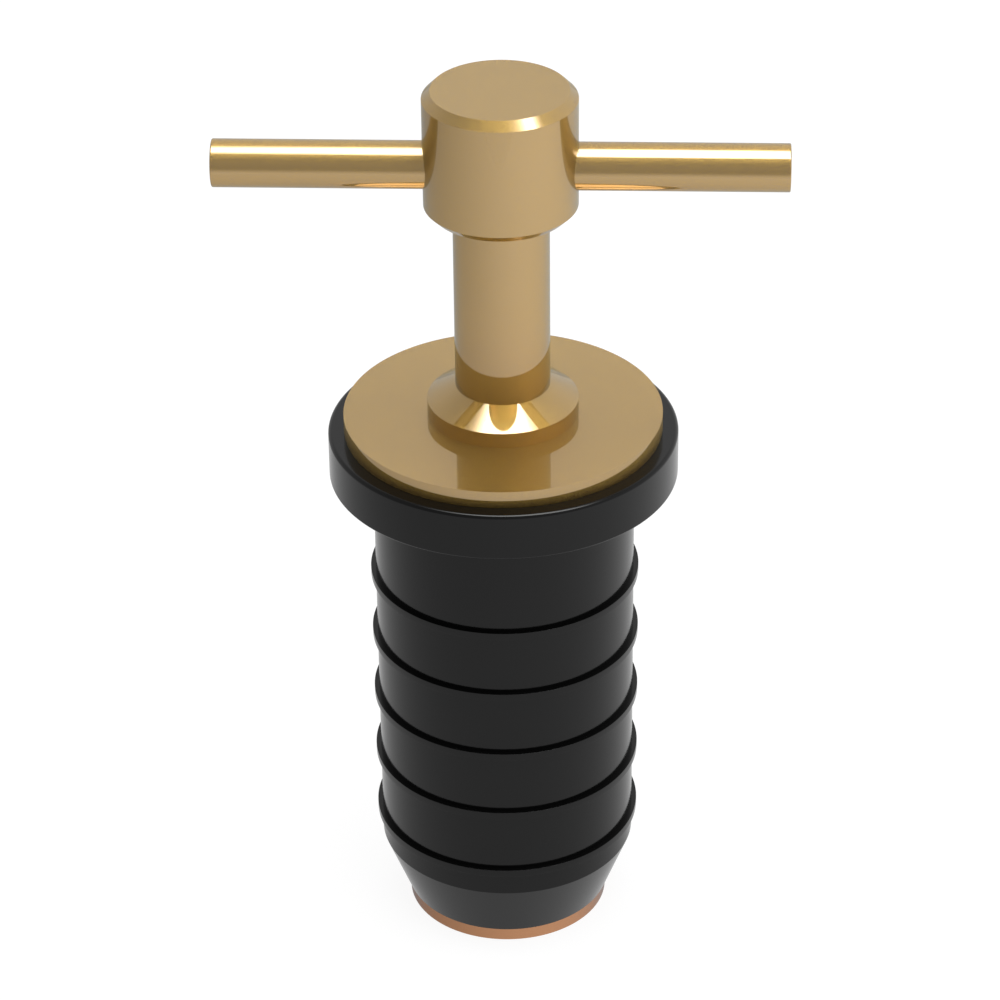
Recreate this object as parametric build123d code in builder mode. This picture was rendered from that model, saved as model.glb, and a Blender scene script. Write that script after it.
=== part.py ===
"""Expanding drain plug for a boat, with a T-handle.

Turning the handle clockwise draws the bottom nut up the screw, which shortens the ribbed
rubber plug and makes it bulge against the wall of the drain tube. All lengths are in
millimetres. The origin is on the plug's axis in the plane it stands on, +Z is up, and the
handle's crossbar lies along X.
"""

import os

from build123d import *

# Screw, the size that the nut, the rubber and the washer all fit round
thread_r = 3.0
thread_gap = 0.05
centre_mark_r = 1.1
centre_mark_depth = 0.8

# Staked end of the screw, which keeps the nut on
stake_flare = 0.6
stake_h = 1.7
stake_inset = 0.3
stake_gap = 0.5
stake_edge = 0.4

# Bottom nut, a round flange with a hexagonal hub keyed into the rubber
nut_r = 9.5
nut_flange_t = 1.31
nut_edge = 0.05
hub_flats = 10.0
hub_h = 7.0
hub_edge = 0.4
hub_gap = 0.1
hub_headroom = 0.5

# Rubber plug, from the tapered nose up to its flange
nose_lip = 0.18
nose_h = 6.13
nose_edge = 0.15
body_r = 12.05
tail_h = 2.97
rib_count = 5
rib_pitch = 6.68
rib_proud = 0.45
rib_h = 0.7
neck_h = 10.24
flange_rim = 1.45
flange_t = 4.45
flange_edge = 0.45
flange_under_edge = 0.2
bore_gap = 0.4

# Thrust washer
washer_r = 14.6
washer_t = 1.64
washer_gap = 0.25
washer_edge = 0.05

# Turned spindle above the screw, whose collar and head have the bar stock's radius
stock_r = 6.92
collar_h = 1.46
collar_cone_h = 1.5
stem_r = 4.34
stem_h = 17.58
head_h = 11.67
head_top_chamfer = 0.76
head_under_chamfer = 0.72

# Crossbar, a drive fit through the head
bar_r = 2.16
bar_length = 51.1
bar_rise = 4.34
bar_gap = 0.01
bar_edge = 0.12

# Heights, stacked from the plane that the plug stands on
nut_top_z = nut_flange_t
nose_top_z = nut_top_z + nose_h
lowest_rib_z = nose_top_z + tail_h
top_rib_z = lowest_rib_z + (rib_count - 1) * rib_pitch
flange_base_z = top_rib_z + neck_h
flange_top_z = flange_base_z + flange_t
washer_top_z = flange_top_z + washer_t
collar_top_z = washer_top_z + collar_h
cone_top_z = collar_top_z + collar_cone_h
head_base_z = cone_top_z + stem_h
head_top_z = head_base_z + head_h
bar_z = head_base_z + bar_rise
stake_top_z = stake_inset + stake_h

# Radii and widths that follow from a fit
stake_r = thread_r + stake_flare
nose_r = nut_r + nose_lip
rib_r = body_r + rib_proud
flange_r = washer_r + flange_rim


def rim(part, z, radius):
    """The round edge of a turned part that lies nearest to a height and a radius."""
    circles = part.edges().filter_by(GeomType.CIRCLE)
    return circles.sort_by(lambda edge: abs(edge.arc_center.Z - z) + abs(edge.radius - radius))[0]


# Bottom nut: flange, hub, threaded hole and the pocket for the staked end
with BuildPart() as bottom_nut:
    with BuildSketch(Plane.XY):
        Circle(nut_r)
    extrude(amount=nut_flange_t)
    with BuildSketch(Plane.XY.offset(nut_top_z)):
        RegularPolygon(hub_flats / 2, 6, major_radius=False)
    extrude(amount=hub_h)
    hub_top = bottom_nut.faces().sort_by(Axis.Z)[-1]
    chamfer(hub_top.edges(), hub_edge)
    with BuildSketch(Plane.XY):
        Circle(thread_r + thread_gap)
    extrude(amount=nut_top_z + hub_h, mode=Mode.SUBTRACT)
    with BuildSketch(Plane.XY):
        Circle(stake_r + stake_gap)
    extrude(amount=stake_top_z, mode=Mode.SUBTRACT)
    chamfer(rim(bottom_nut, 0, nut_r), nut_edge)

# Rubber plug outline, from the nose up past every rib to the flange
plug_outline = [
    (0, nut_top_z),
    (nose_r, nut_top_z),
    (body_r, nose_top_z),
]
for rib in range(rib_count):
    crest_z = lowest_rib_z + rib * rib_pitch
    plug_outline += [
        (body_r, crest_z - rib_h),
        (rib_r, crest_z - rib_h),
        (rib_r, crest_z),
        (body_r, crest_z),
    ]
plug_outline += [
    (body_r, flange_base_z),
    (flange_r, flange_base_z),
    (flange_r, flange_top_z),
    (0, flange_top_z),
]

# Rubber plug: one moulding with a bore for the screw and a pocket for the nut's hub
with BuildPart() as rubber_plug:
    with BuildSketch(Plane.XZ):
        with BuildLine():
            Polyline(*plug_outline, close=True)
        make_face()
    revolve(axis=Axis.Z)
    fillet(rim(rubber_plug, flange_top_z, flange_r), flange_edge)
    fillet(rim(rubber_plug, flange_base_z, flange_r), flange_under_edge)
    fillet(rim(rubber_plug, nut_top_z, nose_r), nose_edge)
    with BuildSketch(Plane.XY.offset(nut_top_z)):
        Circle(thread_r + bore_gap)
    extrude(amount=flange_top_z - nut_top_z, mode=Mode.SUBTRACT)
    with BuildSketch(Plane.XY.offset(nut_top_z)):
        RegularPolygon(hub_flats / 2 + hub_gap, 6, major_radius=False)
    extrude(amount=hub_h + hub_headroom, mode=Mode.SUBTRACT)

# Thrust washer: spreads the collar's push over the rubber flange
with BuildPart() as thrust_washer:
    with BuildSketch(Plane.XY.offset(flange_top_z)):
        Circle(washer_r)
        Circle(thread_r + washer_gap, mode=Mode.SUBTRACT)
    extrude(amount=washer_t)
    chamfer(rim(thrust_washer, washer_top_z, washer_r), washer_edge)
    chamfer(rim(thrust_washer, flange_top_z, washer_r), washer_edge)

# Spindle: staked screw, flared collar, stem and cross-drilled head, turned in one piece
with BuildPart() as spindle:
    with BuildSketch(Plane.XZ):
        with BuildLine():
            Polyline(
                (0, stake_inset),
                (stake_r, stake_inset),
                (stake_r, stake_top_z),
                (thread_r, stake_top_z),
                (thread_r, washer_top_z),
                (stock_r, washer_top_z),
                (stock_r, collar_top_z),
                (stem_r, cone_top_z),
                (stem_r, head_base_z),
                (stock_r, head_base_z),
                (stock_r, head_top_z),
                (0, head_top_z),
                close=True,
            )
        make_face()
    revolve(axis=Axis.Z)
    chamfer(rim(spindle, head_top_z, stock_r), head_top_chamfer)
    chamfer(rim(spindle, head_base_z, stock_r), head_under_chamfer)
    chamfer(rim(spindle, stake_inset, stake_r), stake_edge)
    with BuildSketch(Plane.XZ):
        with BuildLine():
            Polyline(
                (0, stake_inset),
                (centre_mark_r, stake_inset),
                (0, stake_inset + centre_mark_depth),
                close=True,
            )
        make_face()
    revolve(axis=Axis.Z, mode=Mode.SUBTRACT)
    with BuildSketch(Plane.YZ):
        with Locations((0, bar_z)):
            Circle(bar_r + bar_gap)
    extrude(amount=stock_r, both=True, mode=Mode.SUBTRACT)

# Crossbar: plain rod with its ends cut square and the burr taken off
with BuildPart() as handle_bar:
    with BuildSketch(Plane.YZ):
        with Locations((0, bar_z)):
            Circle(bar_r)
    extrude(amount=bar_length / 2, both=True)
    chamfer(handle_bar.edges().filter_by(GeomType.CIRCLE), bar_edge)

bottom_nut.part.label = "bottom_nut"
rubber_plug.part.label = "rubber_plug"
thrust_washer.part.label = "thrust_washer"
spindle.part.label = "spindle"
handle_bar.part.label = "handle_bar"

os.makedirs("parts", exist_ok=True)
export_step(bottom_nut.part, "parts/bottom_nut.step")
export_step(rubber_plug.part, "parts/rubber_plug.step")
export_step(thrust_washer.part, "parts/thrust_washer.step")
export_step(spindle.part, "parts/spindle.step")
export_step(handle_bar.part, "parts/handle_bar.step")
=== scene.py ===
import math

import bmesh
import bpy
from mathutils import Matrix, Vector


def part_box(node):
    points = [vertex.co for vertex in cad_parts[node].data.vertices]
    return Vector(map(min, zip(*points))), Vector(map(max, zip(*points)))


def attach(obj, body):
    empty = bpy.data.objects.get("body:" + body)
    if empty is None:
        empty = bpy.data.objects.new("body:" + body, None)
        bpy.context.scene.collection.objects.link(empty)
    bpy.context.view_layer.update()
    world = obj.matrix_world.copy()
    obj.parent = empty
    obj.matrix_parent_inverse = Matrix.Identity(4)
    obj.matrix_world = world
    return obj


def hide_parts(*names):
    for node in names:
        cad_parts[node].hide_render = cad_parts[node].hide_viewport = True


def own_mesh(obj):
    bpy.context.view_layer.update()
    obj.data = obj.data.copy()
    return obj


# Looks of an expanding drain plug: polished brass screw, bar and washer, moulded rubber, copper nut.
# Every turned piece is a profile of (radius, height, edge radius) in millimetres about the plug's axis.

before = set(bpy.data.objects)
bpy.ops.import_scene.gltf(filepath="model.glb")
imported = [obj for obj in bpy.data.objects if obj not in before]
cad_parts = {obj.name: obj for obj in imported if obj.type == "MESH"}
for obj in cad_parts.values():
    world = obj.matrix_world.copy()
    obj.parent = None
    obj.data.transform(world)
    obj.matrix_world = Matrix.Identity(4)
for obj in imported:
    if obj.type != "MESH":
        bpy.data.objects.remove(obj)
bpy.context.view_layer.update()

MM = 0.001

# Heights of the stack, in millimetres, read from the frame
nut_low, nut_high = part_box("bottom_nut")
rubber_low, rubber_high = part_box("rubber_plug")
washer_low, washer_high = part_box("thrust_washer")
spindle_low, spindle_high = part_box("spindle")
bar_low, bar_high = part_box("handle_bar")
nut_hub_top = nut_high.z / MM
rubber_base = rubber_low.z / MM
flange_top = rubber_high.z / MM
washer_top = washer_high.z / MM
stake_base = spindle_low.z / MM
head_top = spindle_high.z / MM
bar_z = (bar_low.z + bar_high.z) / 2 / MM

# Radii, in millimetres, read from the frame
nut_r = nut_high.y / MM
flange_r = rubber_high.y / MM
washer_r = washer_high.y / MM
stock_r = spindle_high.y / MM
bar_r = bar_high.y / MM
bar_half = bar_high.x / MM

# Screw with its thread, and its staked end
thread_r = 3.0
thread_pitch = 1.0
thread_depth = 0.61
thread_top = 13.0
thread_fade = 0.5
thread_rows_per_turn = 16
thread_steepness = 8 / 6.5
thread_crest_cut = 0.15
stake_flare = 0.6
stake_h = 1.7
stake_edge = 0.4
stake_edge_round = 0.2
centre_mark_r = 1.1
centre_mark_depth = 0.8

# Bottom nut
hub_flats = 10.0
nut_bore_r = 3.05
counterbore_r = 4.1
counterbore_top = 2.0

# Rubber plug, its pocket deep enough to clear the nut's hub when the rubber is squeezed
nose_r = 9.68
nose_h = 6.13
body_r = 12.05
tail_h = 2.97
rib_count = 5
rib_pitch = 6.68
rib_proud = 0.45
rib_h = 0.7
flange_t = 4.5
rubber_bore_r = 3.4
pocket_flats = 10.2
pocket_h = 7.8

# Thrust washer
washer_bore_r = 3.25

# Spindle above the washer
collar_h = 1.46
collar_cone_h = 1.5
stem_r = 4.34
stem_h = 17.58
head_top_chamfer = 0.76
head_under_chamfer = 0.72
bar_hole_gap = 0.01

# How round the edges are
metal_edge = 0.02
bar_edge = 0.12
rubber_edge = 0.02
nose_edge = 0.15
flange_edge = 0.35
flange_under_edge = 0.2
flange_root_edge = 0.1

# How far a shape that cuts another reaches past it
cut_reach = 1.0

TURN_SEGMENTS = 144
EDGE_STEP = math.radians(9)
SHARP_ANGLE = math.radians(12)
TINY = 1e-6


def new_object(name, mesh):
    """An object in the scene that holds the mesh."""
    data = bpy.data.meshes.new(name)
    mesh.to_mesh(data)
    mesh.free()
    made = bpy.data.objects.new(name, data)
    bpy.context.scene.collection.objects.link(made)
    return made


def rounded(corners, closed):
    """The profile with each corner that has an edge radius cut back to a short arc."""
    points = []
    count = len(corners)
    for i, (radius, height, edge) in enumerate(corners):
        here = Vector((radius, height))
        open_end = not closed and i in (0, count - 1)
        if edge == 0 or open_end:
            points.append(here)
            continue
        to_before = Vector(corners[i - 1][:2]) - here
        to_after = Vector(corners[(i + 1) % count][:2]) - here
        opening = to_before.angle(to_after)
        cut = edge / math.tan(opening / 2)
        start = here + to_before.normalized() * cut
        end = here + to_after.normalized() * cut
        bisector = (to_before.normalized() + to_after.normalized()).normalized()
        centre = here + bisector * (edge / math.sin(opening / 2))
        steps = math.ceil((math.pi - opening) / EDGE_STEP)
        for step in range(steps + 1):
            spoke = (start - centre).lerp(end - centre, step / steps)
            points.append(centre + spoke.normalized() * edge)
    return points


def turned(name, corners, closed=False, radius_at=None):
    """A solid of revolution: closed for a ring, or open with both ends on the axis."""
    profile = rounded(corners, closed)
    mesh = bmesh.new()
    rings = []
    for point in profile:
        if point.x < TINY:
            rings.append([mesh.verts.new((0, 0, point.y * MM))])
            continue
        on_thread = radius_at and abs(point.x - thread_r) < TINY
        ring = []
        for step in range(TURN_SEGMENTS):
            turn = 2 * math.pi * step / TURN_SEGMENTS
            radius = radius_at(turn, point.y) if on_thread else point.x
            x = radius * math.cos(turn) * MM
            y = radius * math.sin(turn) * MM
            ring.append(mesh.verts.new((x, y, point.y * MM)))
        rings.append(ring)
    pairs = list(zip(rings, rings[1:]))
    if closed:
        pairs.append((rings[-1], rings[0]))
    for lower, upper in pairs:
        for step in range(TURN_SEGMENTS):
            after = (step + 1) % TURN_SEGMENTS
            if len(lower) == 1:
                mesh.faces.new((lower[0], upper[after], upper[step]))
            elif len(upper) == 1:
                mesh.faces.new((lower[step], lower[after], upper[0]))
            else:
                mesh.faces.new((lower[step], lower[after], upper[after], upper[step]))
    bmesh.ops.recalc_face_normals(mesh, faces=mesh.faces)
    return new_object(name, mesh)


def prism(name, flats, low, high):
    """A hexagonal prism with its flats that far apart, used to shape other pieces."""
    mesh = bmesh.new()
    reach = flats / 2 / math.cos(math.pi / 6)
    ends = []
    for height in (low, high):
        end = []
        for side in range(6):
            turn = math.pi / 3 * side
            x = reach * math.cos(turn) * MM
            y = reach * math.sin(turn) * MM
            end.append(mesh.verts.new((x, y, height * MM)))
        ends.append(end)
    mesh.faces.new(ends[0])
    mesh.faces.new(ends[1])
    for side in range(6):
        after = (side + 1) % 6
        mesh.faces.new((ends[0][side], ends[0][after], ends[1][after], ends[1][side]))
    bmesh.ops.recalc_face_normals(mesh, faces=mesh.faces)
    return new_object(name, mesh)


def combine(piece, tool, operation):
    """The piece with a tool cut from it or joined to it, and the tool thrown away."""
    modifier = piece.modifiers.new("shape", "BOOLEAN")
    modifier.operation = operation
    modifier.solver = "EXACT"
    modifier.object = tool
    depsgraph = bpy.context.evaluated_depsgraph_get()
    data = bpy.data.meshes.new_from_object(piece.evaluated_get(depsgraph))
    piece.modifiers.clear()
    old = piece.data
    piece.data = data
    piece.data.name = piece.name
    bpy.data.meshes.remove(old)
    bpy.data.objects.remove(tool)


def finish_surface(piece):
    """Smooth shading that keeps real edges crisp and flat faces flat."""
    mesh = bmesh.new()
    mesh.from_mesh(piece.data)
    for face in mesh.faces:
        face.smooth = True
    for edge in mesh.edges:
        if len(edge.link_faces) == 2 and edge.calc_face_angle(0) > SHARP_ANGLE:
            edge.smooth = False
    mesh.to_mesh(piece.data)
    mesh.free()
    weighted = piece.modifiers.new("flat faces", "WEIGHTED_NORMAL")
    weighted.keep_sharp = True


# Materials

# Matt flecks in the metals: their size in millimetres, their share of the surface, their roughness
fleck_size = 0.005
fleck_share = 0.42
fleck_roughness = 0.5

# Grain and tool marks, in marks per millimetre, and how much they change the polish and the relief
metal_grain = 5.0
tool_marks = 4.0
tool_mark_detail = 1.0
tool_mark_relief = 0.6
drawn_squeeze = 0.02
polish_spread = 0.2
metal_relief = 0.01
relief_depth = 0.02

# Mould marks in the rubber: fine grain and broad clouds
rubber_grain = 4.0
rubber_clouds = 0.2
rubber_colour_spread = 0.2
rubber_gloss_spread = 0.08
rubber_relief = 0.08


def new_material(name):
    """A material with its surface shader, its node tree and its links."""
    material = bpy.data.materials.new(name)
    material.use_nodes = True
    nodes = material.node_tree.nodes
    return material, nodes, material.node_tree.links, nodes["Principled BSDF"]


def feed(links, socket, value):
    """Set a socket to a number, or link another socket to it."""
    if isinstance(value, (int, float)):
        socket.default_value = value
    else:
        links.new(value, socket)


def math_node(nodes, links, operation, first, second=None):
    """One step of arithmetic on one or two values, each a number or a socket."""
    node = nodes.new("ShaderNodeMath")
    node.operation = operation
    feed(links, node.inputs[0], first)
    if second is not None:
        feed(links, node.inputs[1], second)
    return node.outputs[0]


def mix_value(nodes, links, factor, first, second):
    """The first value where the factor is nought and the second where it is one."""
    node = nodes.new("ShaderNodeMix")
    feed(links, node.inputs["Factor"], factor)
    feed(links, node.inputs["A"], first)
    feed(links, node.inputs["B"], second)
    return node.outputs["Result"]


def mix_colour(nodes, links, factor, first, second):
    """The first colour where the factor is nought and the second where it is one."""
    node = nodes.new("ShaderNodeMix")
    node.data_type = "RGBA"
    node.inputs["A"].default_value = (*first, 1)
    node.inputs["B"].default_value = (*second, 1)
    links.new(factor, node.inputs["Factor"])
    return node.outputs["Result"]


def map_range(nodes, links, value, low, high):
    """A value from nought to one, spread between two others."""
    node = nodes.new("ShaderNodeMapRange")
    node.inputs["To Min"].default_value = low
    node.inputs["To Max"].default_value = high
    links.new(value, node.inputs["Value"])
    return node.outputs[0]


def split_place(nodes, links, place):
    """The X, Y and Z of a place."""
    split = nodes.new("ShaderNodeSeparateXYZ")
    links.new(place, split.inputs[0])
    return split.outputs


def object_place(nodes):
    """Places measured on the object itself."""
    return nodes.new("ShaderNodeTexCoord").outputs["Object"]


def axis_distance(nodes, links, parts):
    """How far a place is from the Z axis."""
    square_x = math_node(nodes, links, "MULTIPLY", parts["X"], parts["X"])
    square_y = math_node(nodes, links, "MULTIPLY", parts["Y"], parts["Y"])
    return math_node(nodes, links, "SQRT", math_node(nodes, links, "ADD", square_x, square_y))


def tilted_value(nodes, links, parts, per_x, per_y, middle):
    """A value that changes evenly along X and Y and is the middle one on the Z axis."""
    along_x = math_node(nodes, links, "MULTIPLY", parts["X"], per_x)
    along_y = math_node(nodes, links, "MULTIPLY", parts["Y"], per_y)
    tilt = math_node(nodes, links, "ADD", along_x, along_y)
    return math_node(nodes, links, "ADD", tilt, middle)


def grain(nodes, links, vector, scale, detail=2.0):
    """Fine even noise, its size set in marks per millimetre."""
    noise = nodes.new("ShaderNodeTexNoise")
    noise.inputs["Scale"].default_value = scale / MM
    noise.inputs["Detail"].default_value = detail
    links.new(vector, noise.inputs["Vector"])
    return noise.outputs["Fac"]


def turning_vector(nodes, links, place):
    """Distance from the axis and height, so that a noise read there runs in rings."""
    parts = split_place(nodes, links, place)
    ring = nodes.new("ShaderNodeCombineXYZ")
    links.new(axis_distance(nodes, links, parts), ring.inputs["X"])
    links.new(parts["Z"], ring.inputs["Y"])
    return ring.outputs[0]


def drawn_vector(nodes, links, place):
    """Places along the bar squeezed together, so that a noise read there runs lengthwise."""
    squeeze = nodes.new("ShaderNodeVectorMath")
    squeeze.operation = "MULTIPLY"
    squeeze.inputs[1].default_value = (drawn_squeeze, 1, 1)
    links.new(place, squeeze.inputs[0])
    return squeeze.outputs[0]


def flecks(nodes, links, place):
    """One inside tiny grains scattered over a share of the surface, nought between them."""
    cells = nodes.new("ShaderNodeVectorMath")
    cells.operation = "SNAP"
    cells.inputs[1].default_value = (fleck_size * MM, fleck_size * MM, fleck_size * MM)
    links.new(place, cells.inputs[0])
    chance = nodes.new("ShaderNodeTexWhiteNoise")
    links.new(cells.outputs[0], chance.inputs["Vector"])
    return math_node(nodes, links, "LESS_THAN", chance.outputs["Value"], fleck_share)


def relief(nodes, links, height, strength, shader):
    """Make the surface rise and fall with a height between nought and one."""
    bump = nodes.new("ShaderNodeBump")
    bump.inputs["Strength"].default_value = strength
    bump.inputs["Distance"].default_value = relief_depth * MM
    links.new(height, bump.inputs["Height"])
    links.new(bump.outputs[0], shader.inputs["Normal"])


def metal(name, pale, deep, edge_tint, polish, marks_vector=turning_vector):
    """Polished metal with fine matt flecks between the polish, and faint tool marks."""
    material, nodes, links, shader = new_material(name)
    shader.inputs["Metallic"].default_value = 1
    shader.inputs["Specular Tint"].default_value = (*edge_tint, 1)
    place = object_place(nodes)
    fine = grain(nodes, links, place, metal_grain)
    lines = grain(nodes, links, marks_vector(nodes, links, place), tool_marks, tool_mark_detail)
    fleck = flecks(nodes, links, place)
    links.new(mix_colour(nodes, links, fleck, pale, deep), shader.inputs["Base Color"])
    smoothest = polish * (1 - polish_spread)
    roughest = polish * (1 + polish_spread)
    polished = map_range(nodes, links, lines, smoothest, roughest)
    links.new(mix_value(nodes, links, fleck, polished, fleck_roughness), shader.inputs["Roughness"])
    marks = math_node(nodes, links, "MULTIPLY", lines, tool_mark_relief)
    relief(nodes, links, math_node(nodes, links, "ADD", fine, marks), metal_relief, shader)
    return material


def moulded_rubber(name, colour, roughness, specular):
    """Satin black rubber with the soft mottle that a mould leaves."""
    material, nodes, links, shader = new_material(name)
    shader.inputs["Specular IOR Level"].default_value = specular
    place = object_place(nodes)
    fine = grain(nodes, links, place, rubber_grain)
    cloud = grain(nodes, links, place, rubber_clouds)
    darkest = [channel * (1 - rubber_colour_spread) for channel in colour]
    lightest = [channel * (1 + rubber_colour_spread) for channel in colour]
    links.new(mix_colour(nodes, links, cloud, darkest, lightest), shader.inputs["Base Color"])
    smoothest = roughness * (1 - rubber_gloss_spread)
    roughest = roughness * (1 + rubber_gloss_spread)
    links.new(map_range(nodes, links, cloud, smoothest, roughest), shader.inputs["Roughness"])
    relief(nodes, links, fine, rubber_relief, shader)
    return material


# Colours in linear light, and how rough the polished part of each surface is
brass_pale = (0.465, 0.347, 0.228)
brass_deep = (0.61, 0.395, 0.095)
brass_edge_tint = (0.74, 0.87, 1.0)
brass_polish = 0.035
copper_pale = (0.485, 0.248, 0.135)
copper_deep = (0.485, 0.24, 0.12)
copper_edge_tint = (0.55, 0.8, 1.0)
copper_polish = 0.3
rubber_black = (0.0025, 0.0025, 0.0025)
rubber_roughness = 0.15
rubber_specular = 0.27

turned_brass = metal("turned_brass", brass_pale, brass_deep, brass_edge_tint, brass_polish)
drawn_brass = metal("drawn_brass", brass_pale, brass_deep, brass_edge_tint, brass_polish, drawn_vector)
copper = metal("copper", copper_pale, copper_deep, copper_edge_tint, copper_polish)
black_rubber = moulded_rubber("black_rubber", rubber_black, rubber_roughness, rubber_specular)


# Pieces

def thread_radius(turn, height):
    """Radius of the right-hand thread at a place on the screw, fading out at both ends."""
    low = stake_base + stake_h
    if height < low or height > thread_top:
        return thread_r
    fade = min(1.0, (height - low) / thread_fade, (thread_top - height) / thread_fade)
    phase = (height / thread_pitch - turn / (2 * math.pi)) % 1.0
    flank = abs(2 * phase - 1) * thread_steepness - thread_crest_cut
    return thread_r - thread_depth * fade * min(1.0, max(0.0, flank))


def crosswise():
    """The move that lays a piece turned about the Z axis along the crossbar's line."""
    return Matrix.Translation((0, 0, bar_z * MM)) @ Matrix.Rotation(math.pi / 2, 4, "Y")


def make_spindle():
    """Staked screw, flared collar, stem and head, in one piece, with the bar's hole through it."""
    stake_top = stake_base + stake_h
    cone_top = washer_top + collar_h + collar_cone_h
    head_base = cone_top + stem_h
    stake_r = thread_r + stake_flare
    rows = int((thread_top - stake_top) / thread_pitch * thread_rows_per_turn)
    thread = [(thread_r, stake_top + (thread_top - stake_top) * row / rows, 0) for row in range(rows + 1)]
    corners = [
        (0, stake_base + centre_mark_depth, 0),
        (centre_mark_r, stake_base, metal_edge),
        (stake_r - stake_edge, stake_base, stake_edge_round),
        (stake_r, stake_base + stake_edge, stake_edge_round),
        (stake_r, stake_top, metal_edge),
        *thread,
        (thread_r, washer_top, 0),
        (stock_r, washer_top, 0),
        (stock_r, washer_top + collar_h, 0),
        (stem_r, cone_top, 0),
        (stem_r, head_base, 0),
        (stock_r - head_under_chamfer, head_base, 0),
        (stock_r, head_base + head_under_chamfer, 0),
        (stock_r, head_top - head_top_chamfer, 0),
        (stock_r - head_top_chamfer, head_top, 0),
        (0, head_top, 0),
    ]
    piece = turned("brass_spindle", corners, radius_at=thread_radius)
    hole_reach = stock_r + cut_reach
    hole = turned("hole", [
        (0, -hole_reach, 0),
        (bar_r + bar_hole_gap, -hole_reach, 0),
        (bar_r + bar_hole_gap, hole_reach, 0),
        (0, hole_reach, 0),
    ])
    hole.data.transform(crosswise())
    combine(piece, hole, "DIFFERENCE")
    return piece


def make_bar():
    """Drawn rod with the burr taken off both ends."""
    piece = turned("brass_bar", [
        (0, -bar_half, 0),
        (bar_r, -bar_half, bar_edge),
        (bar_r, bar_half, bar_edge),
        (0, bar_half, 0),
    ])
    piece.data.transform(crosswise())
    return piece


def make_washer():
    """Flat ring between the collar and the rubber flange."""
    return turned("brass_washer", [
        (washer_bore_r, flange_top, metal_edge),
        (washer_r, flange_top, metal_edge),
        (washer_r, washer_top, 0),
        (washer_bore_r, washer_top, metal_edge),
    ], closed=True)


def make_rubber():
    """Tapered nose, square ribs, body and flange in one moulding, with the nut's pocket inside."""
    nose_top = rubber_base + nose_h
    lowest_rib = nose_top + tail_h
    flange_base = flange_top - flange_t
    corners = [
        (rubber_bore_r, rubber_base, 0),
        (nose_r, rubber_base, nose_edge),
        (body_r, nose_top, 0),
    ]
    for rib in range(rib_count):
        crest = lowest_rib + rib * rib_pitch
        corners += [
            (body_r, crest - rib_h, 0),
            (body_r + rib_proud, crest - rib_h, rubber_edge),
            (body_r + rib_proud, crest, rubber_edge),
            (body_r, crest, 0),
        ]
    corners += [
        (body_r, flange_base, flange_root_edge),
        (flange_r, flange_base, flange_under_edge),
        (flange_r, flange_top, flange_edge),
        (rubber_bore_r, flange_top, 0),
    ]
    piece = turned("rubber_body", corners, closed=True)
    pocket = prism("pocket", pocket_flats, rubber_base - cut_reach, rubber_base + pocket_h)
    combine(piece, pocket, "DIFFERENCE")
    return piece


def make_nut():
    """Round flange with the hexagonal hub that keys into the rubber, bored and counterbored."""
    piece = turned("copper_nut", [
        (0, 0, 0),
        (nut_r, 0, metal_edge),
        (nut_r, rubber_base, metal_edge),
        (0, rubber_base, 0),
    ])
    combine(piece, prism("hub", hub_flats, rubber_base / 2, nut_hub_top), "UNION")
    for radius, top in ((nut_bore_r, nut_hub_top + cut_reach), (counterbore_r, counterbore_top)):
        bore = turned("bore", [(0, -cut_reach, 0), (radius, -cut_reach, 0), (radius, top, 0), (0, top, 0)])
        combine(piece, bore, "DIFFERENCE")
    return piece


spindle = make_spindle()
bar = make_bar()
washer = make_washer()
rubber = make_rubber()
nut = make_nut()

finishes = (
    (spindle, turned_brass),
    (bar, drawn_brass),
    (washer, turned_brass),
    (rubber, black_rubber),
    (nut, copper),
)
for piece, material in finishes:
    piece.data.materials.clear()
    piece.data.materials.append(material)
    finish_surface(piece)

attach(spindle, "handle")
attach(bar, "handle")
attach(washer, "plug")
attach(rubber, "plug")
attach(nut, "nut")
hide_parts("spindle")
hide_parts("handle_bar")
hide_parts("thrust_washer")
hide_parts("rubber_plug")
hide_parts("bottom_nut")
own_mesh(rubber)


# Camera

camera_place = Vector((13.79, -316.89, 237.05)) * MM
camera_down = math.radians(31.355)
camera_left = math.radians(2.560)
camera_roll = math.radians(-0.643)
camera_lens = 144.3
camera_sensor = 36
camera_nearest = 0.01


def make_camera():
    """The photograph's viewpoint: where the camera stands, and how it is turned."""
    data = bpy.data.cameras.new("camera")
    data.lens = camera_lens
    data.sensor_width = camera_sensor
    data.clip_start = camera_nearest
    camera = bpy.data.objects.new("camera", data)
    bpy.context.scene.collection.objects.link(camera)
    level = Vector((-math.sin(camera_left), math.cos(camera_left), 0))
    right = Vector((math.cos(camera_left), math.sin(camera_left), 0))
    forward = level * math.cos(camera_down) - Vector((0, 0, 1)) * math.sin(camera_down)
    up = level * math.sin(camera_down) + Vector((0, 0, 1)) * math.cos(camera_down)
    axis_x = right * math.cos(camera_roll) + up * math.sin(camera_roll)
    axis_y = up * math.cos(camera_roll) - right * math.sin(camera_roll)
    turn = Matrix((axis_x, axis_y, -forward)).transposed().to_4x4()
    camera.matrix_world = Matrix.Translation(camera_place) @ turn
    bpy.context.scene.camera = camera


make_camera()


# Studio: a white floor, a white surround that is darker in front, and a softbox overhead

def strength_by_ray(nodes, links, in_gloss, to_camera, elsewhere):
    """How bright a thing is in a gloss, to the camera, and as a light for all else."""
    path = nodes.new("ShaderNodeLightPath")
    strength = mix_value(nodes, links, path.outputs["Is Glossy Ray"], elsewhere, in_gloss)
    return mix_value(nodes, links, path.outputs["Is Camera Ray"], strength, to_camera)


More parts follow.
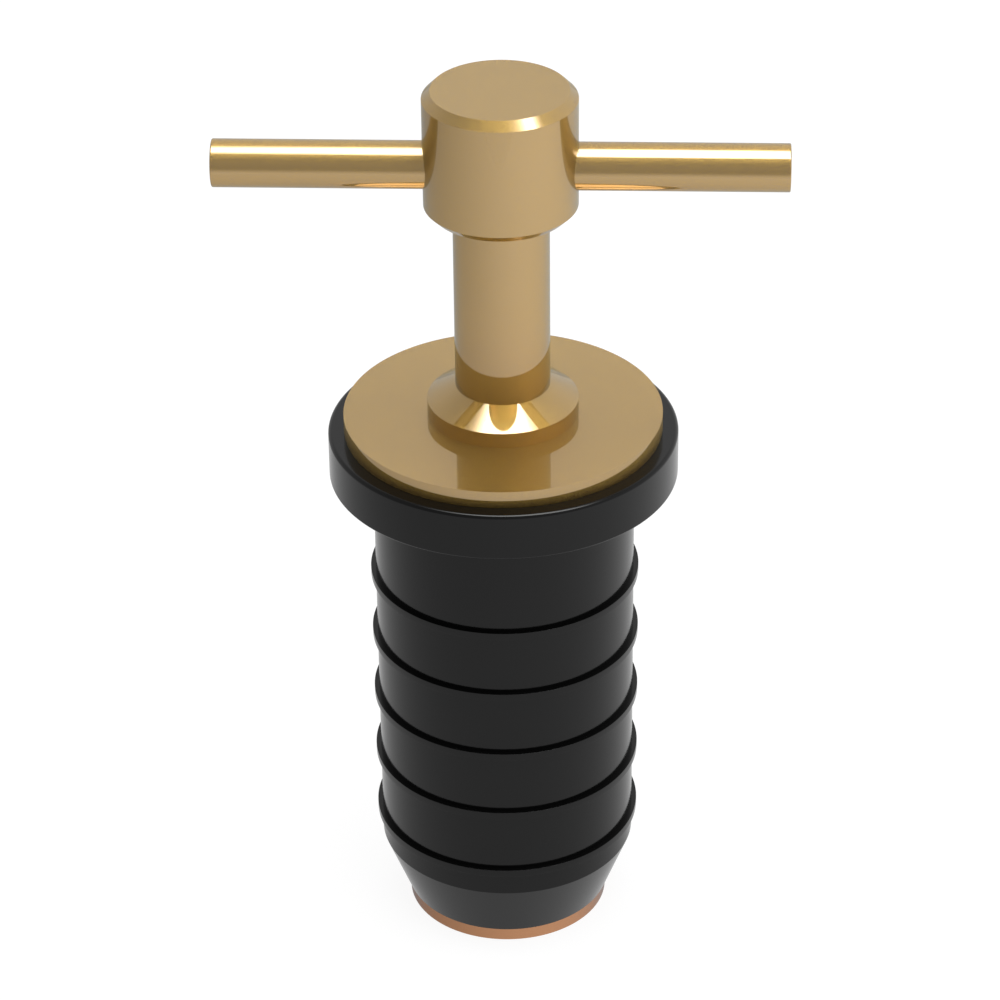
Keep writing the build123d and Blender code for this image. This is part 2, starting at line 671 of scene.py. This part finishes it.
def flat_sheet(name, corners):
    """A flat four-sided sheet."""
    mesh = bmesh.new()
    mesh.faces.new([mesh.verts.new(corner) for corner in corners])
    return new_object(name, mesh)


# Floor: its edges in metres, how much it scatters, and how it glows to the camera and elsewhere
floor_side = 0.5
floor_front = -0.17
floor_back = 0.6
floor_albedo = 0.15
floor_to_camera = 0.90
floor_elsewhere = 0.3

# Floor in the gloss: how bright it is, how fast and which way that changes, and where it is clear
floor_mid = 0.835
floor_slope = 1.72
floor_bright_x = 0.839
floor_bright_y = -0.545
floor_low = 0.55
floor_high = 1.12
floor_clear_r = 0.018


def make_floor():
    """Pale floor that shows white, keeps a little shadow, and is clear to a gloss near the axis."""
    floor = flat_sheet("floor", [
        (-floor_side, floor_front, 0),
        (floor_side, floor_front, 0),
        (floor_side, floor_back, 0),
        (-floor_side, floor_back, 0),
    ])
    material, nodes, links, shader = new_material("floor")
    nodes.remove(shader)
    parts = split_place(nodes, links, object_place(nodes))
    per_x = floor_slope * floor_bright_x
    per_y = floor_slope * floor_bright_y
    ramp = tilted_value(nodes, links, parts, per_x, per_y, floor_mid - floor_albedo)
    ramp = math_node(nodes, links, "MINIMUM", ramp, floor_high - floor_albedo)
    ramp = math_node(nodes, links, "MAXIMUM", ramp, floor_low - floor_albedo)
    emission = nodes.new("ShaderNodeEmission")
    strength = strength_by_ray(nodes, links, ramp, floor_to_camera, floor_elsewhere)
    links.new(strength, emission.inputs["Strength"])
    diffuse = nodes.new("ShaderNodeBsdfDiffuse")
    diffuse.inputs["Color"].default_value = (floor_albedo, floor_albedo, floor_albedo, 1)
    add = nodes.new("ShaderNodeAddShader")
    links.new(diffuse.outputs[0], add.inputs[0])
    links.new(emission.outputs[0], add.inputs[1])
    near = math_node(nodes, links, "LESS_THAN", axis_distance(nodes, links, parts), floor_clear_r)
    glossy_ray = nodes.new("ShaderNodeLightPath").outputs["Is Glossy Ray"]
    clear = nodes.new("ShaderNodeBsdfTransparent")
    surface = nodes.new("ShaderNodeMixShader")
    links.new(math_node(nodes, links, "MULTIPLY", near, glossy_ray), surface.inputs[0])
    links.new(add.outputs[0], surface.inputs[1])
    links.new(clear.outputs[0], surface.inputs[2])
    links.new(surface.outputs[0], nodes["Material Output"].inputs["Surface"])
    floor.data.materials.append(material)


# Surround: the wall's brightness and how it changes to the right, to the back and upwards
wall_mid = 0.64
wall_right = 0.16
wall_back = 0.235
wall_dim_above = 0.42
wall_dimming = 0.45
wall_least = 0.33

# Surround below the horizon, and the heights between which it gives way to the wall
below_mid = 0.835
below_right = 0.25
below_back = -0.16
below_top = math.radians(-24)
wall_bottom = math.radians(-1)

# Surround to the camera, and as a light
surround_to_camera = 1.0
surround_elsewhere = 0.45


def make_world():
    """White to the camera; in the gloss it is darkest in front and brightest behind."""
    world = bpy.data.worlds.new("studio")
    bpy.context.scene.world = world
    world.use_nodes = True
    nodes = world.node_tree.nodes
    links = world.node_tree.links
    background = nodes["Background"]
    background.inputs["Color"].default_value = (1, 1, 1, 1)
    parts = split_place(nodes, links, nodes.new("ShaderNodeTexCoord").outputs["Generated"])
    above = math_node(nodes, links, "SUBTRACT", parts["Z"], wall_dim_above)
    above = math_node(nodes, links, "MAXIMUM", above, 0)
    dimming = math_node(nodes, links, "MULTIPLY", above, wall_dimming)
    wall = tilted_value(nodes, links, parts, wall_right, wall_back, wall_mid)
    wall = math_node(nodes, links, "SUBTRACT", wall, dimming)
    wall = math_node(nodes, links, "MAXIMUM", wall, wall_least)
    below = tilted_value(nodes, links, parts, below_right, below_back, below_mid)
    height = nodes.new("ShaderNodeMapRange")
    height.interpolation_type = "SMOOTHSTEP"
    height.inputs["From Min"].default_value = math.sin(below_top)
    height.inputs["From Max"].default_value = math.sin(wall_bottom)
    links.new(parts["Z"], height.inputs["Value"])
    surround = mix_value(nodes, links, height.outputs[0], below, wall)
    strength = strength_by_ray(nodes, links, surround, surround_to_camera, surround_elsewhere)
    links.new(strength, background.inputs["Strength"])


# Softbox: its place and size in metres, how it fades to its edges, and where its front is cut
softbox_height = 0.97
softbox_x = 0.193
softbox_y = -0.137
softbox_length = 1.46
softbox_width = 1.05
softbox_turn = math.radians(-40)
softbox_fade = 0.32
softbox_front = -0.47
softbox_front_fade = 0.16
softbox_falloff = 3.0
softbox_glow = 8.0
softbox_power = 8.0


def softbox_place():
    """Where the softbox hangs, and how it is turned."""
    return Matrix.Translation((softbox_x, softbox_y, softbox_height)) @ Matrix.Rotation(softbox_turn, 4, "Z")


def make_softbox_card():
    """The softbox as the gloss sees it, a glowing card with soft edges."""
    half_length = softbox_length / 2
    half_width = softbox_width / 2
    card = flat_sheet("softbox_card", [
        (-half_length, -half_width, 0),
        (-half_length, half_width, 0),
        (half_length, half_width, 0),
        (half_length, -half_width, 0),
    ])
    card.matrix_world = softbox_place()
    material, nodes, links, shader = new_material("softbox_card")
    nodes.remove(shader)
    parts = split_place(nodes, links, object_place(nodes))
    world_parts = split_place(nodes, links, nodes.new("ShaderNodeNewGeometry").outputs["Position"])
    behind = math_node(nodes, links, "SUBTRACT", world_parts["Y"], softbox_front)
    front = nodes.new("ShaderNodeMapRange")
    front.inputs["From Max"].default_value = softbox_front_fade
    links.new(behind, front.inputs["Value"])
    glow = math_node(nodes, links, "POWER", front.outputs[0], softbox_falloff)
    glow = math_node(nodes, links, "MULTIPLY", glow, softbox_glow)
    for half, across in ((half_length, parts["X"]), (half_width, parts["Y"])):
        inside = math_node(nodes, links, "SUBTRACT", half, math_node(nodes, links, "ABSOLUTE", across))
        share = math_node(nodes, links, "DIVIDE", inside, softbox_fade)
        share = math_node(nodes, links, "MINIMUM", share, 1)
        share = math_node(nodes, links, "MAXIMUM", share, 0)
        share = math_node(nodes, links, "POWER", share, softbox_falloff)
        glow = math_node(nodes, links, "MULTIPLY", share, glow)
    emission = nodes.new("ShaderNodeEmission")
    links.new(glow, emission.inputs["Strength"])
    clear = nodes.new("ShaderNodeBsdfTransparent")
    add = nodes.new("ShaderNodeAddShader")
    links.new(emission.outputs[0], add.inputs[0])
    links.new(clear.outputs[0], add.inputs[1])
    links.new(add.outputs[0], nodes["Material Output"].inputs["Surface"])
    card.data.materials.append(material)
    card.visible_camera = False
    card.visible_diffuse = False
    card.visible_shadow = False


def make_softbox_lamp():
    """The softbox as a light for all that isn't gloss, less its faded edges."""
    data = bpy.data.lights.new("softbox", "AREA")
    data.shape = "RECTANGLE"
    data.size = softbox_length - softbox_fade
    data.size_y = softbox_width - softbox_fade
    data.energy = softbox_power
    lamp = bpy.data.objects.new("softbox", data)
    bpy.context.scene.collection.objects.link(lamp)
    lamp.matrix_world = softbox_place()
    lamp.visible_glossy = False


make_floor()
make_world()
make_softbox_card()
make_softbox_lamp()

scene = bpy.context.scene
scene.view_settings.view_transform = "Standard"
